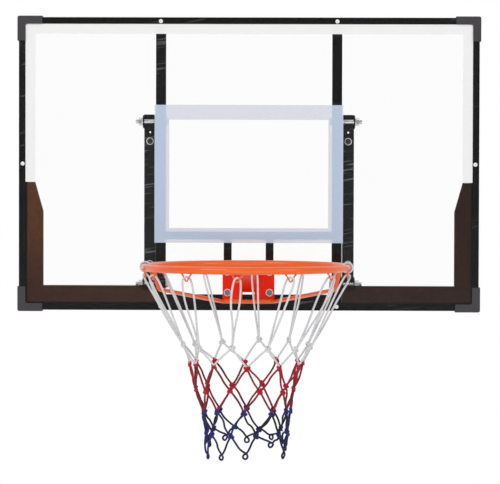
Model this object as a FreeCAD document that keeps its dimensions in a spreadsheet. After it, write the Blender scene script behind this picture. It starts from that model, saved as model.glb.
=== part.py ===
import FreeCAD, Part
import math
import os
import re
import Sketcher

Vector = FreeCAD.Vector

# Driving sizes: millimetres, degrees and counts.
# The origin is on the wall, midway between the four wall bolts; X runs right, Y into the wall, Z up.
SIZES = {
    # clear sheet and the films on its front
    "board_width": 1118,
    "board_height": 711,
    "board_rise": 94.5,
    "panel_thickness": 4,
    "panel_standoff": 57,
    "film_thickness": 0.3,
    "film_margin": 16.3,
    "border_width": 24,
    "corner_film_rise": 311,
    "corner_film_shoulder": 240,
    "corner_film_width": 44,
    "film_joint": 0.3,
    "target_width": 458,
    "target_height": 335,
    "target_band": 36,
    "target_drop": 24,
    # black frame behind the sheet
    "frame_tube": 19,
    "tube_wall": 1.5,
    "upright_tube": 24,
    "upright_spacing": 428,
    "strut_spacing": 102,
    "crossbar_rise": 181.5,
    # moulded corner caps
    "cap_wall": 3,
    "cap_leg": 57,
    "cap_cover": 16,
    "cap_inner_radius": 6,
    "cap_outer_radius": 5,
    "cap_clearance": 0.3,
    # screws that hold the sheet
    "screw_radius": 2.4,
    "screw_head_radius": 5,
    "screw_head_height": 3.2,
    "screw_length": 16,
    "screw_head_round": 1.9,
    "screw_recess_span": 5,
    "screw_recess_slot": 1.3,
    "screw_recess_depth": 1.6,
    "screw_clearance": 0.3,
    # rim
    "ring_bore": 450,
    "ring_rod": 17,
    "ring_reach": 380,
    "ring_drop": 237,
    "plate_width": 126,
    "plate_height": 104,
    "plate_thickness": 4,
    "plate_drop": 287,
    "plate_corner": 4,
    "window_width": 29,
    "window_height": 19.5,
    "window_drop": 34,
    "arm_width": 41,
    "arm_root_depth": 72,
    "arm_tip_depth": 14,
    "arm_wall": 3,
    "arm_nose": 12,
    "arm_setback": 4,
    "brace_rod": 10,
    "brace_half_span": 220,
    "brace_knee_inset": 15,
    "brace_knee_back": 30,
    "brace_knee_drop": 56,
    "brace_foot_inset": 2,
    "brace_foot_rise": 5,
    "brace_bend": 16,
    "weld_gap": 0.3,
    # wire hooks under the ring
    "hook_count": 12,
    "hook_turn": -4,
    "hook_half_width": 12,
    "hook_depth": 19,
    "hook_wire": 3.5,
    "hook_bend": 3,
    # rim fasteners
    "rim_bolt_radius": 4,
    "rim_bolt_rows": 50,
    "rim_hex_flats": 13,
    "rim_head_height": 5.5,
    "rim_nut_height": 6.5,
    "rim_washer_radius": 9,
    "rim_washer_thickness": 1.6,
    "rim_bolt_tail": 4,
    # wall rails, clevises and their bolts
    "rail_spacing": 484,
    "rail_width": 28,
    "rail_depth": 20,
    "rail_wall": 2,
    "rail_length": 430,
    "spare_hole_radius": 2.5,
    "spare_hole_rise": 172,
    "clevis_wall": 3,
    "clevis_height": 30,
    "clevis_edge": 11,
    "clevis_rows": 395,
    "clevis_corner": 8,
    "clevis_bolt_radius": 5,
    "clevis_hex_flats": 17,
    "clevis_head_height": 6.4,
    "clevis_nut_height": 8,
    "clevis_washer_radius": 10,
    "clevis_washer_thickness": 2,
    "clevis_bolt_tail": 7,
    "bolt_clearance": 0.4,
    "thread_clearance": 0.3,
    # wall bolts
    "wall_bolt_radius": 4,
    "wall_neck_radius": 3.6,
    "wall_bolt_rows": 300,
    "wall_bolt_grip": 50,
    "wall_head_radius": 7,
    "wall_head_height": 4.4,
    "wall_head_round": 3,
    "wall_socket_flats": 5,
    "wall_socket_depth": 2.6,
    "wall_washer_radius": 9,
    "wall_washer_thickness": 1.6,
    # net
    "cord": 4.6,
    "cord_sides": 6,
    "knot_radius": 5,
    "knot_end_radius": 2.8,
    "knot_height": 13,
    "net_gap": 0.3,
    "net_loop_spread": 8,
    "net_loop_fall": 5,
    "net_row_1_drop": 178,
    "net_row_2_drop": 223,
    "net_row_3_drop": 279,
    "net_row_4_drop": 332,
    "net_row_5_drop": 378,
    "net_end_drop": 436,
    "net_row_1_radius": 151,
    "net_row_2_radius": 130,
    "net_row_3_radius": 115,
    "net_row_4_radius": 101,
    "net_row_5_radius": 95,
    "net_end_radius": 92,
    "net_end_half_width": 9,
}
NET_ROWS = 5
NEAR = 0.01
SKETCH_START = 10

doc = FreeCAD.newDocument("backboard")
sheet = doc.addObject("Spreadsheet::Sheet", "Sizes")
for row, (name, value) in enumerate(SIZES.items(), start=1):
    sheet.set("A%d" % row, name)
    sheet.set("B%d" % row, str(value))
    sheet.setAlias("B%d" % row, name)
doc.recompute()

sub_parts = []


def size(name):
    """The number that the sheet holds for one named size."""
    return float(sheet.get(name))


def bind(item, prop, text):
    """Ties a property to an expression in which the sheet's names stand alone."""
    whole = re.sub(r"[a-z][a-z_0-9]*", lambda word: full_name(word.group()), text)
    item.setExpression(prop, whole)


def full_name(word):
    return "Sizes." + word if word in SIZES else word


def new_body(label, x="0", y="0", z="0"):
    """A named sub-part whose own origin stands at the given place."""
    body = doc.addObject("PartDesign::Body", label)
    body.Label = label
    for axis, text in zip("xyz", (x, y, z)):
        bind(body, "Placement.Base." + axis, text)
    sub_parts.append(body)
    return body


def origin_item(body, role):
    return next(item for item in body.Origin.OriginFeatures if item.Role == role)


def new_sketch(body, role, offset="0"):
    sketch = body.newObject("Sketcher::SketchObject", body.Label + "_sketch")
    sketch.AttachmentSupport = [(origin_item(body, role), "")]
    sketch.MapMode = "FlatFace"
    bind(sketch, "AttachmentOffset.Base.z", offset)
    return sketch


def named_size(sketch, constraint, text):
    number = sketch.addConstraint(constraint)
    name = "size%d" % number
    sketch.renameConstraint(number, name)
    bind(sketch, "Constraints." + name, text)


def polygon(sketch, corners):
    """A closed outline; each corner is a pair of expressions measured from the sketch's origin."""
    first = sketch.GeometryCount
    count = len(corners)
    turn = 2 * math.pi / count
    start = [Vector(math.cos(i * turn), math.sin(i * turn), 0) * SKETCH_START for i in range(count)]
    for i in range(count):
        sketch.addGeometry(Part.LineSegment(start[i], start[(i + 1) % count]))
    for i in range(count):
        join = Sketcher.Constraint("Coincident", first + i, 2, first + (i + 1) % count, 1)
        sketch.addConstraint(join)
    for i, (across, up) in enumerate(corners):
        named_size(sketch, Sketcher.Constraint("DistanceX", -1, 1, first + i, 1, start[i].x), across)
        named_size(sketch, Sketcher.Constraint("DistanceY", -1, 1, first + i, 1, start[i].y), up)


def rectangle(sketch, width, height, x="0", y="0"):
    """A rectangle about the point (x, y)."""
    left, right = ["%s %s (%s) / 2" % (x, sign, width) for sign in "-+"]
    low, high = ["%s %s (%s) / 2" % (y, sign, height) for sign in "-+"]
    polygon(sketch, [(left, low), (right, low), (right, high), (left, high)])


def circle(sketch, radius, x="0", y="0"):
    start = Vector(SKETCH_START, SKETCH_START, 0)
    number = sketch.addGeometry(Part.Circle(start, Vector(0, 0, 1), SKETCH_START))
    named_size(sketch, Sketcher.Constraint("DistanceX", -1, 1, number, 3, start.x), x)
    named_size(sketch, Sketcher.Constraint("DistanceY", -1, 1, number, 3, start.y), y)
    named_size(sketch, Sketcher.Constraint("Radius", number, SKETCH_START), radius)


def pad(body, sketch, length, side="One side", back=False):
    feature = body.newObject("PartDesign::Pad", body.Label + "_pad")
    feature.Profile = sketch
    feature.SideType = side
    feature.Reversed = back
    bind(feature, "Length", length)
    return feature


def pocket(body, sketch, length=None, side="One side", back=False):
    """A cut to a length, or right through where none is given."""
    feature = body.newObject("PartDesign::Pocket", body.Label + "_pocket")
    feature.Profile = sketch
    feature.SideType = side
    feature.Reversed = back
    if length is None:
        feature.Type = "ThroughAll"
    else:
        bind(feature, "Length", length)
    return feature


def rounded(body, radius, chosen):
    """Rounds the edges of the body's last feature that the test picks out."""
    doc.recompute()
    last = body.Tip
    edges = ["Edge%d" % i for i, edge in enumerate(last.Shape.Edges, start=1) if chosen(edge)]
    feature = body.newObject("PartDesign::Fillet", body.Label + "_round")
    feature.Base = (last, edges)
    bind(feature, "Radius", radius)
    return feature


def along(edge, axis):
    """True for a straight edge that runs along the given axis."""
    if not isinstance(edge.Curve, Part.Line):
        return False
    return abs(edge.Curve.Direction.dot(axis)) > 0.999


# Places that several pieces share
PANEL_BACK = "-panel_standoff"
PANEL_FRONT = "-panel_standoff - panel_thickness"
BOARD_LOW = "board_rise - board_height / 2"
UPRIGHT_FACE = "upright_spacing / 2 + upright_tube / 2"
RING_Y = "-panel_standoff - panel_thickness - ring_reach"
RING_Z = "board_rise - ring_drop"
RING_RADIUS = "((ring_bore + ring_rod) / 2)"
PLATE_Z = "board_rise - plate_drop"
CLEVIS_BOLT_Y = "-panel_standoff + upright_tube / 2"
CLEVIS_WIDTH = "(rail_spacing - upright_spacing - upright_tube)"
SIDES = {"left": "-1", "right": "1"}
LEVELS = {"upper": "1", "lower": "-1"}


def four_places(spacing_x, spacing_z):
    """The corners of a rectangle of bolts about its own middle."""
    ends = [(x, z) for x in SIDES.values() for z in LEVELS.values()]
    return [("%s * %s / 2" % (x, spacing_x), "%s * %s / 2" % (z, spacing_z)) for x, z in ends]


# Clear sheet, drilled for the six screws and the four rim bolts
def screw_places():
    """Screw centres, measured from the middle of the board."""
    top_and_bottom = four_places("upright_spacing", "(board_height - frame_tube)")
    sides = [(sign + " * (board_width - frame_tube) / 2", "0") for sign in SIDES.values()]
    return top_and_bottom + sides


def rim_bolt_places():
    """Rim bolt centres, measured from the middle of the rim plate."""
    return four_places("strut_spacing", "rim_bolt_rows")


def build_panel():
    panel = new_body("board_panel", y=PANEL_BACK, z="board_rise")
    outline = new_sketch(panel, "XZ_Plane")
    rectangle(outline, "board_width", "board_height")
    for x, z in screw_places():
        circle(outline, "screw_radius + screw_clearance", x, z)
    for x, z in rim_bolt_places():
        circle(outline, "rim_bolt_radius + bolt_clearance", x, "-plate_drop + " + z)
    pad(panel, outline, "panel_thickness")


# Films stuck on the front of the sheet
def build_border_film():
    film = new_body("border_film", y=PANEL_FRONT, z="board_rise")
    outline = new_sketch(film, "XZ_Plane")
    out_x = "board_width / 2 - film_margin"
    out_z = "board_height / 2 - film_margin"
    in_x = out_x + " - border_width"
    in_z = out_z + " - border_width"
    end = "corner_film_rise - board_height / 2 + film_joint"
    right = [(out_x, end), (out_x, out_z)]
    inner = [(in_x, in_z), (in_x, end)]
    mirrored = [("-(%s)" % x, z) for x, z in reversed(right)]
    mirrored_inner = [("-(%s)" % x, z) for x, z in reversed(inner)]
    polygon(outline, right + mirrored + mirrored_inner + inner)
    pad(film, outline, "film_thickness")


def build_corner_film(side):
    film = new_body("corner_film_" + side, y=PANEL_FRONT, z=BOARD_LOW)
    outline = new_sketch(film, "XZ_Plane")
    sign = SIDES[side]
    edge = "board_width / 2 - film_margin"
    corners = [
        (UPRIGHT_FACE, "film_margin"),
        (edge, "film_margin"),
        (edge, "corner_film_rise"),
        (edge + " - border_width", "corner_film_rise"),
        (edge + " - corner_film_width", "corner_film_shoulder"),
        (edge + " - corner_film_width", "film_margin + corner_film_width"),
        (UPRIGHT_FACE, "film_margin + corner_film_width"),
    ]
    polygon(outline, [("%s * (%s)" % (sign, x), z) for x, z in corners])
    pad(film, outline, "film_thickness")


def build_target_film():
    film = new_body("target_film", y=PANEL_FRONT, z="board_rise - target_drop")
    outline = new_sketch(film, "XZ_Plane")
    rectangle(outline, "target_width", "target_height")
    rectangle(outline, "target_width - 2 * target_band", "target_height - 2 * target_band")
    pad(film, outline, "film_thickness")


# Square tubes, drawn on end and padded along their length
def tube_along_x(label, section, length, z):
    """A square tube across the board, with its front against the sheet."""
    tube = new_body(label, y=PANEL_BACK + " + " + section + " / 2", z=z)
    outline = new_sketch(tube, "YZ_Plane")
    rectangle(outline, section, section)
    rectangle(outline, section + " - 2 * tube_wall", section + " - 2 * tube_wall")
    pad(tube, outline, length, "Symmetric")
    return tube


def tube_along_z(label, section, length, x, z):
    """A square tube up the board, with its front against the sheet."""
    tube = new_body(label, x=x, y=PANEL_BACK + " + " + section + " / 2", z=z)
    outline = new_sketch(tube, "XY_Plane")
    rectangle(outline, section, section)
    rectangle(outline, section + " - 2 * tube_wall", section + " - 2 * tube_wall")
    pad(tube, outline, length, "Symmetric")
    return tube


def screw_hole(tube, x, z):
    """A hole through a tube's front wall."""
    hole = new_sketch(tube, "XZ_Plane")
    circle(hole, "screw_radius + screw_clearance", x, z)
    pocket(tube, hole, back=True)


def build_frame():
    half_x = "board_width / 2"
    half_z = "board_height / 2"
    middle_z = "(board_height - frame_tube) / 2"
    middle_x = "(board_width - frame_tube) / 2"
    for name, sign in (("top", "1"), ("bottom", "-1")):
        place = "board_rise + %s * %s" % (sign, middle_z)
        tube = tube_along_x("frame_" + name, "frame_tube", "board_width", place)
        mitres = new_sketch(tube, "XZ_Plane")
        for end in ("1", "-1"):
            corner = ("%s * %s" % (end, half_x), "-%s * frame_tube / 2" % sign)
            inner = ("%s * (%s - frame_tube)" % (end, half_x), "-%s * frame_tube / 2" % sign)
            outer = ("%s * %s" % (end, half_x), "%s * frame_tube / 2" % sign)
            polygon(mitres, [corner, inner, outer])
        pocket(tube, mitres, side="Symmetric")
        for end in ("1", "-1"):
            screw_hole(tube, end + " * upright_spacing / 2", "0")
    for name, sign in SIDES.items():
        place = "%s * %s" % (sign, middle_x)
        tube = tube_along_z("frame_" + name, "frame_tube", "board_height", place, "board_rise")
        mitres = new_sketch(tube, "XZ_Plane")
        for end in ("1", "-1"):
            corner = ("-%s * frame_tube / 2" % sign, "%s * %s" % (end, half_z))
            inner = ("-%s * frame_tube / 2" % sign, "%s * (%s - frame_tube)" % (end, half_z))
            outer = ("%s * frame_tube / 2" % sign, "%s * %s" % (end, half_z))
            polygon(mitres, [corner, inner, outer])
        pocket(tube, mitres, side="Symmetric")
        screw_hole(tube, "0", "0")


def build_uprights():
    length = "board_height - 2 * frame_tube"
    for name, sign in SIDES.items():
        place = sign + " * upright_spacing / 2"
        tube = tube_along_z("upright_" + name, "upright_tube", length, place, "board_rise")
        holes = new_sketch(tube, "YZ_Plane")
        for level in LEVELS.values():
            row = level + " * clevis_rows / 2 - board_rise"
            circle(holes, "clevis_bolt_radius + bolt_clearance", "0", row)
        pocket(tube, holes, side="Symmetric")


def build_crossbars():
    length = "upright_spacing - upright_tube"
    tube_along_x("crossbar_upper", "frame_tube", length, BOARD_LOW + " + crossbar_rise")
    tube_along_x("crossbar_lower", "frame_tube", length, BOARD_LOW + " + frame_tube + frame_tube / 2")


def build_struts():
    low = "2 * frame_tube"
    high = "(crossbar_rise - frame_tube / 2)"
    length = high + " - " + low
    middle = "%s + (%s + %s) / 2" % (BOARD_LOW, low, high)
    for name, sign in SIDES.items():
        tube = tube_along_z("strut_" + name, "frame_tube", length, sign + " * strut_spacing / 2", middle)
        holes = new_sketch(tube, "XZ_Plane")
        for level in LEVELS.values():
            row = level + " * rim_bolt_rows / 2 + board_height / 2 - plate_drop"
            circle(holes, "rim_bolt_radius + bolt_clearance", "0", "%s - (%s + %s) / 2" % (row, low, high))
        pocket(tube, holes, side="Symmetric")


# Moulded corner caps: an L of U section, hooked over sheet and tube
def build_corner_cap(end_x, end_z, sign_x, sign_z):
    cap = new_body(
        "corner_cap_%s_%s" % (end_z, end_x),
        x=sign_x + " * board_width / 2",
        y=PANEL_FRONT,
        z="board_rise + %s * board_height / 2" % sign_z,
    )

    def placed(corners):
        return [("%s * (%s)" % (sign_x, x), "%s * (%s)" % (sign_z, z)) for x, z in corners]

    out = "cap_clearance + cap_wall"
    leg = "-cap_leg"
    cover = "-cap_cover"
    face = [(out, out), (leg, out), (leg, cover), (cover, cover), (cover, leg), (out, leg)]
    depth = "panel_thickness + frame_tube + cap_clearance + 2 * cap_wall"
    outline = new_sketch(cap, "XZ_Plane", "cap_wall")
    polygon(outline, placed(face))
    pad(cap, outline, depth, back=True)
    inside = "cap_clearance"
    reach = "-2 * cap_leg"
    channel = new_sketch(cap, "XZ_Plane")
    polygon(channel, placed([(inside, inside), (reach, inside), (reach, reach), (inside, reach)]))
    pocket(cap, channel, "panel_thickness + frame_tube + cap_clearance")
    inner = -size("cap_cover")
    outer = size("cap_clearance") + size("cap_wall")
    rounded(cap, "cap_inner_radius", lambda edge: is_cap_corner(edge, sign_x, sign_z, inner))
    rounded(cap, "cap_outer_radius", lambda edge: is_cap_corner(edge, sign_x, sign_z, outer))


def is_cap_corner(edge, sign_x, sign_z, at):
    """True for the edges along Y at one distance from the frame's corner, both ways."""
    if not along(edge, Vector(0, 1, 0)):
        return False
    point = edge.Vertexes[0].Point
    return abs(point.x - float(sign_x) * at) < NEAR and abs(point.z - float(sign_z) * at) < NEAR


# Fasteners: shanks, hexagonal heads and nuts, and washers, drawn together at all their places
def hexagon(sketch, flats, x="0", y="0"):
    """A hexagon by its width across flats, with two flats upright."""
    half = "(%s) / 2" % flats
    side = "(%s) / sqrt(3)" % flats
    turns = [("0", "1"), ("1", "0.5"), ("1", "-0.5"), ("0", "-1"), ("-1", "-0.5"), ("-1", "0.5")]
    polygon(sketch, [("%s + %s * %s" % (x, u, half), "%s + %s * %s" % (y, v, side)) for u, v in turns])


def shanks(body, role, places, radius, length, offset="0", back=False):
    outline = new_sketch(body, role, offset)
    for x, y in places:
        circle(outline, radius, x, y)
    pad(body, outline, length, back=back)


def hex_heads(body, role, places, flats, length, offset="0", back=False):
    outline = new_sketch(body, role, offset)
    for x, y in places:
        hexagon(outline, flats, x, y)
    pad(body, outline, length, back=back)


def hex_nuts(body, role, places, flats, bore, length, offset="0", back=False):
    outline = new_sketch(body, role, offset)
    for x, y in places:
        hexagon(outline, flats, x, y)
        circle(outline, bore, x, y)
    pad(body, outline, length, back=back)


def washers(body, role, places, radius, bore, length, offset="0", back=False):
    outline = new_sketch(body, role, offset)
    for x, y in places:
        circle(outline, radius, x, y)
        circle(outline, bore, x, y)
    pad(body, outline, length, back=back)


def cross(sketch, arm, half, x, y):
    """A cross recess by the length of its arms and half their width."""
    quarter = [(arm, half), (half, half), (half, arm)]
    corners = quarter + [("-" + b, a) for a, b in quarter] + [("-" + a, "-" + b) for a, b in quarter]
    corners += [(b, "-" + a) for a, b in quarter]
    polygon(sketch, [("%s + %s" % (x, across), "%s + %s" % (y, up)) for across, up in corners])


def is_rim_at(edge, y, radius):
    """True for a round edge of one radius that lies in the plane at y."""
    if not isinstance(edge.Curve, Part.Circle):
        return False
    return abs(edge.Curve.Center.y - y) < NEAR and abs(edge.Curve.Radius - radius) < NEAR


def build_board_screws():
    screws = new_body("board_screws", y=PANEL_FRONT, z="board_rise")
    shanks(screws, "XZ_Plane", screw_places(), "screw_head_radius", "screw_head_height")
    shanks(screws, "XZ_Plane", screw_places(), "screw_radius", "screw_length", back=True)
    top = -size("screw_head_height")
    rounded(screws, "screw_head_round", lambda edge: is_rim_at(edge, top, size("screw_head_radius")))
    recesses = new_sketch(screws, "XZ_Plane", "screw_head_height")
    for x, z in screw_places():
        cross(recesses, "screw_recess_span / 2", "screw_recess_slot / 2", x, z)
    pocket(screws, recesses, "screw_recess_depth")


def build_rim_fasteners():
    places = rim_bolt_places()
    grip = "plate_thickness + panel_thickness + frame_tube + 2 * rim_washer_thickness"
    front = PANEL_FRONT + " - plate_thickness"
    behind = PANEL_BACK + " + frame_tube"
    bolts = new_body("rim_bolts", y=front + " - rim_washer_thickness", z=PLATE_Z)
    hex_heads(bolts, "XZ_Plane", places, "rim_hex_flats", "rim_head_height")
    shank = grip + " + rim_nut_height + rim_bolt_tail"
    shanks(bolts, "XZ_Plane", places, "rim_bolt_radius", shank, back=True)
    plain = new_body("rim_washers", y=front, z=PLATE_Z)
    bore = "rim_bolt_radius + bolt_clearance"
    washers(plain, "XZ_Plane", places, "rim_washer_radius", bore, "rim_washer_thickness")
    rear = "-(plate_thickness + panel_thickness + frame_tube)"
    washers(plain, "XZ_Plane", places, "rim_washer_radius", bore, "rim_washer_thickness", rear, back=True)
    nuts = new_body("rim_nuts", y=behind + " + rim_washer_thickness", z=PLATE_Z)
    thread = "rim_bolt_radius + thread_clearance"
    hex_nuts(nuts, "XZ_Plane", places, "rim_hex_flats", thread, "rim_nut_height", back=True)


# Rim: a ring of round rod on a folded arm, a plate and a bent brace
def ring_of_rod(label, extra):
    ring = doc.addObject("Part::Torus", label)
    ring.Label = label
    bind(ring, "Radius1", RING_RADIUS)
    bind(ring, "Radius2", "ring_rod / 2 + " + extra)
    bind(ring, "Placement.Base.y", RING_Y)
    bind(ring, "Placement.Base.z", RING_Z)
    return ring


def build_ring():
    sub_parts.append(ring_of_rod("rim_ring", "0"))


def build_rim_plate():
    plate = new_body("rim_plate", y=PANEL_FRONT, z=PLATE_Z)
    outline = new_sketch(plate, "XZ_Plane")
    rectangle(outline, "plate_width", "plate_height")
    rectangle(outline, "window_width", "window_height", "0", "-window_drop")
    for x, z in rim_bolt_places():
        circle(outline, "rim_bolt_radius + bolt_clearance", x, z)
    pad(plate, outline, "plate_thickness")
    half = size("plate_width") / 2
    rounded(plate, "plate_corner", lambda edge: along(edge, Vector(0, 1, 0)) and
            abs(abs(edge.Vertexes[0].Point.x) - half) < NEAR)


def build_rim_arm():
    """A folded channel, deep at the plate and shallow at the ring, notched round the ring's rod."""
    arm = doc.addObject("PartDesign::Body", "rim_arm_channel")
    bind(arm, "Placement.Base.y", PANEL_FRONT + " - plate_thickness")
    bind(arm, "Placement.Base.z", RING_Z)
    length = "(ring_reach - plate_thickness - %s - arm_setback)" % RING_RADIUS
    tip = "-" + length
    outline = new_sketch(arm, "YZ_Plane")
    polygon(outline, [("0", "0"), ("0", "-arm_root_depth"), (tip, "-arm_tip_depth"), (tip, "0")])
    pad(arm, outline, "arm_width", "Symmetric")
    hollow = new_sketch(arm, "YZ_Plane")
    nose = tip + " + arm_nose"
    nose_depth = "arm_tip_depth + (arm_root_depth - arm_tip_depth) * arm_nose / " + length
    polygon(hollow, [
        ("arm_wall", "-arm_wall"),
        ("arm_wall", "-arm_root_depth + arm_wall"),
        ("0", "-arm_root_depth + arm_wall"),
        (nose, "-(%s) + arm_wall" % nose_depth),
        (nose, "-arm_wall"),
    ])
    pocket(arm, hollow, "arm_width - 2 * arm_wall", "Symmetric")
    notch = ring_of_rod("ring_notch", "weld_gap")
    cut = doc.addObject("Part::Cut", "rim_arm")
    cut.Label = "rim_arm"
    cut.Base = arm
    cut.Tool = notch
    sub_parts.append(cut)


def bent_rod(points, bend, radius):
    """A round rod along straight runs that are joined by tangent arcs."""
    edges = []
    start = points[0]
    for before, corner, after in zip(points, points[1:], points[2:]):
        back = (before - corner).normalize()
        ahead = (after - corner).normalize()
        half = back.getAngle(ahead) / 2
        reach = bend / math.tan(half)
        first = corner + back * reach
        last = corner + ahead * reach
        middle = corner + (back + ahead).normalize() * (bend / math.sin(half) - bend)
        edges.append(Part.LineSegment(start, first).toShape())
        edges.append(Part.Arc(first, middle, last).toShape())
        start = last
    edges.append(Part.LineSegment(start, points[-1]).toShape())
    run = points[1] - points[0]
    section = Part.Wire(Part.Circle(points[0], run, radius).toShape())
    return Part.Wire(edges).makePipeShell([section], True, False)


def shaped(label, shape, place=Vector(0, 0, 0)):
    """A sub-part whose shape is worked out here, then set in its place."""
    feature = doc.addObject("Part::Feature", label)
    feature.Label = label
    feature.Shape = shape
    feature.Placement = FreeCAD.Placement(place, FreeCAD.Rotation())
    sub_parts.append(feature)


def ring_centre():
    y = -size("panel_standoff") - size("panel_thickness") - size("ring_reach")
    return Vector(0, y, size("board_rise") - size("ring_drop"))


def ring_radius():
    return (size("ring_bore") + size("ring_rod")) / 2


def ring_tool():
    """The ring's rod with a weld gap round it, centred on the ring."""
    return Part.makeTorus(ring_radius(), size("ring_rod") / 2 + size("weld_gap"))


def build_brace():
    """One rod from under the ring, along the foot of the plate and up to the ring again."""
    span = size("brace_half_span")
    back = math.sqrt(ring_radius() ** 2 - span ** 2)
    knee = Vector(span - size("brace_knee_inset"), back + size("brace_knee_back"), -size("brace_knee_drop"))
    plate_face = size("ring_reach") - size("plate_thickness")
    foot_y = plate_face - size("brace_rod") / 2 - size("weld_gap")
    foot_x = size("plate_width") / 2 - size("brace_foot_inset")
    foot_z = size("ring_drop") - size("plate_drop") - size("plate_height") / 2 + size("brace_foot_rise")
    foot = Vector(foot_x, foot_y, foot_z)
    right = [Vector(span, back, 0), knee, foot]
    left = [Vector(-point.x, point.y, point.z) for point in reversed(right)]
    rod = bent_rod(right + left, size("brace_bend"), size("brace_rod") / 2)
    shaped("rim_brace", rod.cut(ring_tool()), ring_centre())


def around(angle):
    """Unit vectors outwards from the ring's axis and along the ring, at an angle from the front."""
    turn = math.radians(angle)
    return Vector(math.sin(turn), -math.cos(turn), 0), Vector(math.cos(turn), math.sin(turn), 0)


def hook_angles():
    count = int(size("hook_count"))
    return [size("hook_turn") + 360 / count * i for i in range(count)]


def build_hooks():
    """V-shaped wires under the ring, each with both ends on the rod."""
    under = size("ring_rod") / 2
    lap = size("hook_wire")
    slope = size("hook_half_width") / size("hook_depth")
    tool = ring_tool()
    hooks = []
    for angle in hook_angles():
        out, along_ring = around(angle)
        top = out * ring_radius() + Vector(0, 0, lap - under)
        tip = out * ring_radius() - Vector(0, 0, under + size("hook_depth"))
        half = (size("hook_depth") + lap) * slope
        wire = bent_rod([top - along_ring * half, tip, top + along_ring * half], size("hook_bend"),
                        size("hook_wire") / 2)
        hooks.append(wire.cut(tool))
    shaped("net_hooks", Part.Compound([solid for hook in hooks for solid in hook.Solids]), ring_centre())


# Net: cords of few sides between knots, every other row half a step round
def cord_run(points):
    """A cord of flat sides along a run of points, with mitred corners."""
    sides = int(size("cord_sides"))
    run = (points[1] - points[0]).normalize()
    across = run.cross(Vector(0, 0, 1)).normalize()
    over = run.cross(across)
    radius = size("cord") / 2
    corners = []
    for i in range(sides):
        turn = 2 * math.pi * i / sides
        corners.append(points[0] + (across * math.cos(turn) + over * math.sin(turn)) * radius)
    section = Part.makePolygon(corners + corners[:1])
    if len(points) == 2:
        return Part.Face(section).extrude(points[1] - points[0])
    return Part.makePolygon(points).makePipeShell([section], True, False, 1)


def knot(centre, out, along_ring):
    """A squat bead of flat sides where cords are tied."""
    sides = int(size("cord_sides"))
    rings = []
    half = Vector(0, 0, size("knot_height") / 2)
    ends = size("knot_end_radius")
    for middle, radius in ((centre - half, ends), (centre, size("knot_radius")), (centre + half, ends)):
        turns = [2 * math.pi * i / sides for i in range(sides)]
        points = [middle + (out * math.cos(a) + along_ring * math.sin(a)) * radius for a in turns]
        rings.append(Part.makePolygon(points + points[:1]))
    return Part.makeLoft(rings, True, True)


def net_point(angle, row):
    """Where a knot of one row is tied, at an angle from the front."""
    out, along_ring = around(angle)
    return out * size("net_row_%d_radius" % row) - Vector(0, 0, size("net_row_%d_drop" % row))


def hook_loop_height():
    """How high above a hook's point its loop of cord rests between the two legs."""
    reach = (size("hook_wire") + size("cord")) / 2 + size("net_gap")
    leg = Vector(-size("hook_half_width"), 0, size("hook_depth"))
    loop = Vector(-size("net_loop_spread"), size("net_loop_spread"), -size("net_loop_fall"))
    half_width = reach / abs(leg.cross(loop).normalize().x)
    return half_width * size("hook_depth") / size("hook_half_width")


def build_net():
    step = 360 / size("hook_count")
    pieces = []
    for angle in hook_angles():
        out, along_ring = around(angle)
        tip = out * ring_radius() - Vector(0, 0, size("ring_rod") / 2 + size("hook_depth"))
        crook = tip + Vector(0, 0, hook_loop_height())
        twist = 1 if out.x > 0 else -1
        aside = (out + along_ring * twist) * size("net_loop_spread")
        fall = Vector(0, 0, size("net_loop_fall"))
        first = net_point(angle, 1)
        pieces.append(cord_run([first, crook + aside - fall, crook]))
        pieces.append(cord_run([first, crook - aside - fall, crook]))
        for row in range(1, NET_ROWS + 1):
            turned = angle + (row - 1) % 2 * step / 2
            pieces.append(knot(net_point(turned, row), *around(turned)))
        for row in range(1, NET_ROWS):
            turned = angle + (row - 1) % 2 * step / 2
            for swing in (-step / 2, step / 2):
                pieces.append(cord_run([net_point(turned, row), net_point(turned + swing, row + 1)]))
        last = net_point(angle, NET_ROWS)
        end = out * size("net_end_radius") - Vector(0, 0, size("net_end_drop"))
        belly = (last + end) / 2
        half = along_ring * size("net_end_half_width")
        pieces.append(cord_run([last, belly - half, end]))
        pieces.append(cord_run([last, belly + half, end]))
    net = pieces[0].multiFuse(pieces[1:])
    shaped("net", net.Solids[0], ring_centre())


# Wall rails, clevises and bolts
def build_wall_rail(side):
    rail = new_body("wall_rail_" + side, x=SIDES[side] + " * rail_spacing / 2", y="-rail_depth / 2")
    outline = new_sketch(rail, "XY_Plane")
    rectangle(outline, "rail_width", "rail_depth")
    rectangle(outline, "rail_width - 2 * rail_wall", "rail_depth - 2 * rail_wall")
    pad(rail, outline, "rail_length", "Symmetric")
    holes = new_sketch(rail, "XZ_Plane")
    for level in LEVELS.values():
        circle(holes, "wall_bolt_radius + bolt_clearance", "0", level + " * wall_bolt_rows / 2")
    circle(holes, "spare_hole_radius", "0", "spare_hole_rise")
    pocket(rail, holes, side="Symmetric")


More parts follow.
